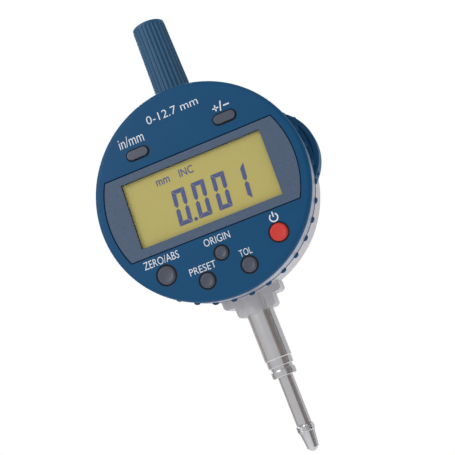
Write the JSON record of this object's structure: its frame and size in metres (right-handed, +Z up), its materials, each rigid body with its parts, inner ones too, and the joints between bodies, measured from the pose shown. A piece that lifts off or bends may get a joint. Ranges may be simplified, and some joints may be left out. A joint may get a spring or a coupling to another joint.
{
  "type": "digital dial indicator",
  "caption": "Digital dial indicator with a turning round display head, sprung measuring spindle in a clamping stem, press buttons, top cap and coin cell tray.",
  "frame": {"origin": "on the clamping stem's axis, half way along its clamping length", "axes": "+Z up the spindle towards the cap, -Y out of the display's face, +X to the right of the display"},
  "size_m": [0.0658, 0.0245, 0.136],
  "materials": {
    "case_metal": "satin die-cast, slightly rough",
    "band_metal": "fine satin, smooth",
    "blue_plastic": "fine moulded texture",
    "back_steel": "brushed",
    "screw_steel": "plated",
    "black_rubber": "matte",
    "stem_steel": "ground stainless",
    "spindle_steel": "hardened and ground",
    "ball_steel": "polished",
    "bush_bronze": "machined",
    "spring_steel": "drawn wire",
    "board_green": "coated laminate",
    "chip_black": "moulded",
    "cable_amber": "polyimide film",
    "scale_glass": "coated laminate strip",
    "carrier_alloy": "machined",
    "cell_steel": "nickel plated",
    "glide_white": "low-friction ring",
    "mask_slate": "printed panel",
    "lens_clear": "clear window",
    "lcd_yellow": "reflective liquid crystal display",
    "frame_white": "moulded",
    "switch_metal": "stamped",
    "key_grey": "moulded keys",
    "key_red": "moulded key"
  },
  "bodies": {
    "case": {"housing": "case_metal", "back_cover": "back_steel", "back_cover_screws": "screw_steel", "back_gasket": "black_rubber", "stem": "stem_steel", "stem_nose": "stem_steel", "stem_bush": "bush_bronze", "top_bush": "bush_bronze", "guide_rod": "screw_steel", "stop_bumper": "black_rubber", "spring_post": "screw_steel", "reader_board": "board_green", "reader_sensor": "chip_black", "reader_screws": "screw_steel", "battery_contacts": "screw_steel", "head_stop_pin": "screw_steel", "flex_cable": "cable_amber", "return_spring": "spring_steel"},
    "spindle": {"spindle": "spindle_steel", "contact_point": "spindle_steel", "contact_ball": "ball_steel", "stop_collar": "back_steel", "scale_carrier": "carrier_alloy", "carrier_screw": "screw_steel", "scale_strip": "scale_glass", "spring_hook": "screw_steel"},
    "cap": {"top_cap": "blue_plastic"},
    "tray": {"battery_tray": "blue_plastic", "coin_cell": "cell_steel", "tray_seal": "black_rubber"},
    "head": {"front_cover": "blue_plastic", "head_band": "band_metal", "grip_ring": "blue_plastic", "head_back": "chip_black", "head_screws": "screw_steel", "head_circlip": "back_steel", "glide_ring": "glide_white", "window_mask": "mask_slate", "window_lens": "lens_clear", "lcd_panel": "lcd_yellow", "lcd_frame": "frame_white", "contact_strips": "black_rubber", "display_board": "board_green", "driver_chip": "chip_black", "board_connector": "frame_white", "key_switches": "switch_metal"},
    "key_unit": {"button_unit": "key_grey"},
    "key_sign": {"button_sign": "key_grey"},
    "key_zero": {"button_zero": "key_grey"},
    "key_power": {"button_power": "key_red"},
    "key_preset": {"button_preset": "key_grey"},
    "key_tolerance": {"button_tolerance": "key_grey"},
    "key_origin": {"button_origin": "key_grey"}
  },
  "joints": [
    {"name": "spindle_slide", "type": "slide", "parent": "case", "child": "spindle", "axis": [0, 0, 1], "range_m": [0, 0.0127], "stiffness_N_per_m": 30, "springref_m": -0.02, "deforming": ["return_spring"]},
    {"name": "head_swivel", "type": "hinge", "parent": "case", "child": "head", "pos_m": [0, 0, 0.0431], "axis": [0, 1, 0], "range_deg": [-135, 135]},
    {"name": "cap_pull", "type": "slide", "parent": "case", "child": "cap", "axis": [0, 0, 1], "range_m": [0, 0.028]},
    {"name": "tray_slide", "type": "slide", "parent": "case", "child": "tray", "axis": [1, 0, 0], "range_m": [0, 0.024]},
    {"name": "key_unit_press", "type": "slide", "parent": "head", "child": "key_unit", "axis": [0, 1, 0], "range_m": [0, 0.0006], "stiffness_N_per_m": 800, "springref_m": -0.0002},
    {"name": "key_sign_press", "type": "slide", "parent": "head", "child": "key_sign", "axis": [0, 1, 0], "range_m": [0, 0.0006], "stiffness_N_per_m": 800, "springref_m": -0.0002},
    {"name": "key_zero_press", "type": "slide", "parent": "head", "child": "key_zero", "axis": [0, 1, 0], "range_m": [0, 0.0006], "stiffness_N_per_m": 800, "springref_m": -0.0002},
    {"name": "key_power_press", "type": "slide", "parent": "head", "child": "key_power", "axis": [0, 1, 0], "range_m": [0, 0.0006], "stiffness_N_per_m": 800, "springref_m": -0.0002},
    {"name": "key_preset_press", "type": "slide", "parent": "head", "child": "key_preset", "axis": [0, 1, 0], "range_m": [0, 0.0006], "stiffness_N_per_m": 800, "springref_m": -0.0002},
    {"name": "key_tolerance_press", "type": "slide", "parent": "head", "child": "key_tolerance", "axis": [0, 1, 0], "range_m": [0, 0.0006], "stiffness_N_per_m": 800, "springref_m": -0.0002},
    {"name": "key_origin_press", "type": "slide", "parent": "head", "child": "key_origin", "axis": [0, 1, 0], "range_m": [0, 0.0006], "stiffness_N_per_m": 800, "springref_m": -0.0002}
  ]
}
